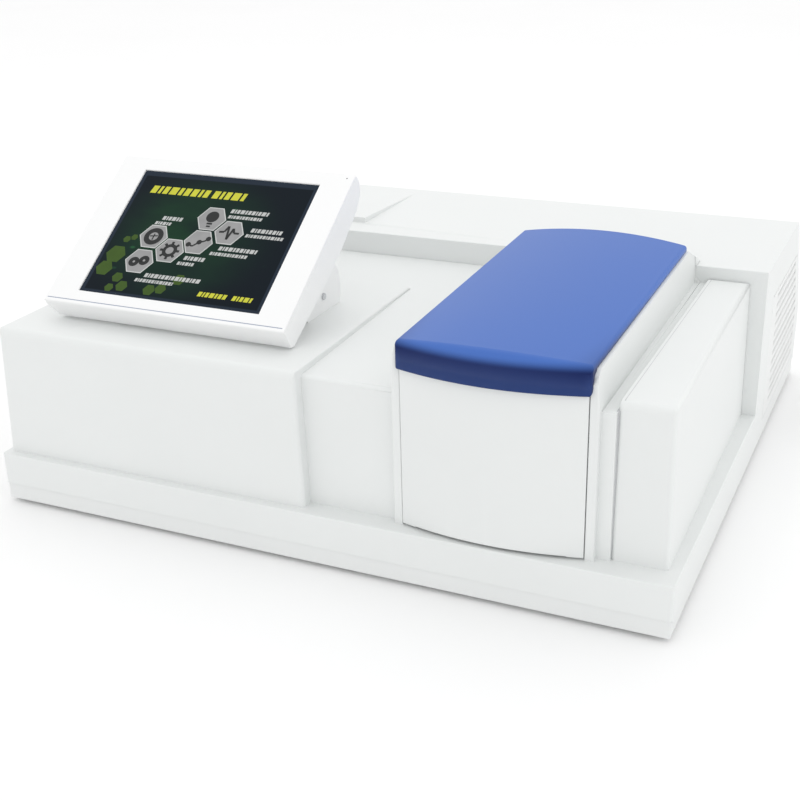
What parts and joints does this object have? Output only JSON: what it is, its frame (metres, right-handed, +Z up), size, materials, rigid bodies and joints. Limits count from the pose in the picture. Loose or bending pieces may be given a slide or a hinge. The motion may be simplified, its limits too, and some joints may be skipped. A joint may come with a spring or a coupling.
{
  "type": "benchtop spectrophotometer",
  "caption": "Bench-top double-beam spectrophotometer with a tilting touch display, a hinged blue sample-compartment lid and a pull-off front panel.",
  "frame": {"origin": "centre of the footprint, on the surface the feet stand on", "axes": "+X to the right seen from the front, +Y towards the rear, +Z up; the display and the front panel face -Y"},
  "size_m": [0.6, 0.562, 0.2786],
  "materials": {
    "shell_white": "satin moulded, very fine grain",
    "tray_white": "powder coat, satin",
    "lid_blue": "satin moulded, soft sheen",
    "display_white": "satin moulded",
    "screen": "gloss touch glass over a lit panel",
    "panel_module": "moulded",
    "black_plastic": "moulded",
    "black_coat": "matt black coat",
    "foot_rubber": "matt",
    "steel": "brushed",
    "plate_aluminium": "machined",
    "mirror_glass": "coated front surface",
    "quartz": "polished",
    "board_green": "solder mask",
    "gasket": "soft foam",
    "rocker_green": "translucent, glossy",
    "grille_white": "moulded"
  },
  "bodies": {
    "cabinet": {"bottom_tray": "tray_white", "feet": "foot_rubber", "foot_screws": "steel", "plinth_frame": "shell_white", "left_cover": "shell_white", "rear_cover": "shell_white", "right_cover": "shell_white", "sample_housing": "shell_white", "side_grille": "grille_white", "fan_frame": "black_plastic", "rear_panel": "plate_aluminium", "power_socket": "black_plastic", "socket_pins": "steel", "switch_frame": "black_plastic", "usb_port": "steel", "serial_port": "steel", "optical_base": "plate_aluminium", "base_standoffs": "steel", "lamp_house": "plate_aluminium", "deuterium_lamp": "quartz", "tungsten_lamp": "quartz", "wheel_motor": "steel", "monochromator_case": "black_coat", "monochromator_lid": "black_coat", "concave_mirrors": "mirror_glass", "grating_motor": "black_coat", "chopper_motor": "black_coat", "beam_mirrors": "mirror_glass", "detector_case": "plate_aluminium", "photomultiplier": "quartz", "power_supply": "steel", "main_board": "board_green", "board_parts": "black_plastic", "sample_tub": "black_coat", "beam_windows": "quartz", "cell_holders": "black_coat", "holder_plate": "plate_aluminium", "lid_seal": "gasket", "lid_hinge_leaves": "steel", "hinge_pins": "steel", "panel_catches": "steel", "display_stand": "display_white", "tilt_pins": "steel"},
    "lid": {"lid": "lid_blue", "lid_liner": "black_plastic"},
    "front_panel": {"front_panel": "shell_white"},
    "display": {"display_case": "display_white", "display_bezel": "display_white", "touch_glass": "screen", "display_panel": "panel_module"},
    "fan_rotor": {"fan_rotor": "black_plastic"},
    "power_rocker": {"power_rocker": "rocker_green"},
    "fuse_drawer": {"fuse_drawer": "black_plastic"},
    "grating": {"grating_table": "plate_aluminium", "diffraction_grating": "mirror_glass"},
    "filter_wheel": {"filter_wheel": "black_coat"},
    "chopper_disc": {"chopper_disc": "plate_aluminium"},
    "source_mirror": {"source_mirror": "mirror_glass"},
    "sample_cuvette": {"sample_cuvette": "quartz"},
    "reference_cuvette": {"reference_cuvette": "quartz"}
  },
  "joints": [
    {"name": "lid_hinge", "type": "hinge", "parent": "cabinet", "child": "lid", "pos_m": [0.157, 0.026, 0.198], "axis": [-1, 0, 0], "range_deg": [0, 85]},
    {"name": "front_panel_pull", "type": "slide", "parent": "cabinet", "child": "front_panel", "axis": [0, -1, 0], "range_m": [0, 0.06]},
    {"name": "display_tilt", "type": "hinge", "parent": "cabinet", "child": "display", "pos_m": [-0.146, -0.135, 0.178], "axis": [-1, 0, 0], "range_deg": [0, 20]},
    {"name": "fan_spin", "type": "hinge", "parent": "cabinet", "child": "fan_rotor", "pos_m": [0.276, 0.162, 0.084], "axis": [1, 0, 0], "continuous": true},
    {"name": "power_rock", "type": "hinge", "parent": "cabinet", "child": "power_rocker", "pos_m": [0.174, 0.275, 0.0475], "axis": [-1, 0, 0], "range_deg": [0, 16]},
    {"name": "fuse_pull", "type": "slide", "parent": "cabinet", "child": "fuse_drawer", "axis": [0, 1, 0], "range_m": [0, 0.015]},
    {"name": "grating_turn", "type": "hinge", "parent": "cabinet", "child": "grating", "pos_m": [0.014, 0.133, 0.08], "axis": [0, 0, 1], "range_deg": [-35, 35]},
    {"name": "filter_turn", "type": "hinge", "parent": "cabinet", "child": "filter_wheel", "pos_m": [0.128, 0.108, 0.086], "axis": [1, 0, 0], "continuous": true},
    {"name": "chopper_spin", "type": "hinge", "parent": "cabinet", "child": "chopper_disc", "pos_m": [0.025, 0.016, 0.102], "axis": [0, 1, 0], "continuous": true},
    {"name": "source_swing", "type": "hinge", "parent": "cabinet", "child": "source_mirror", "pos_m": [0.172, 0.108, 0.102], "axis": [0, 0, 1], "range_deg": [0, 36]},
    {"name": "sample_cell_lift", "type": "slide", "parent": "cabinet", "child": "sample_cuvette", "axis": [0, 0, 1], "range_m": [0, 0.055]},
    {"name": "reference_cell_lift", "type": "slide", "parent": "cabinet", "child": "reference_cuvette", "axis": [0, 0, 1], "range_m": [0, 0.055]}
  ]
}
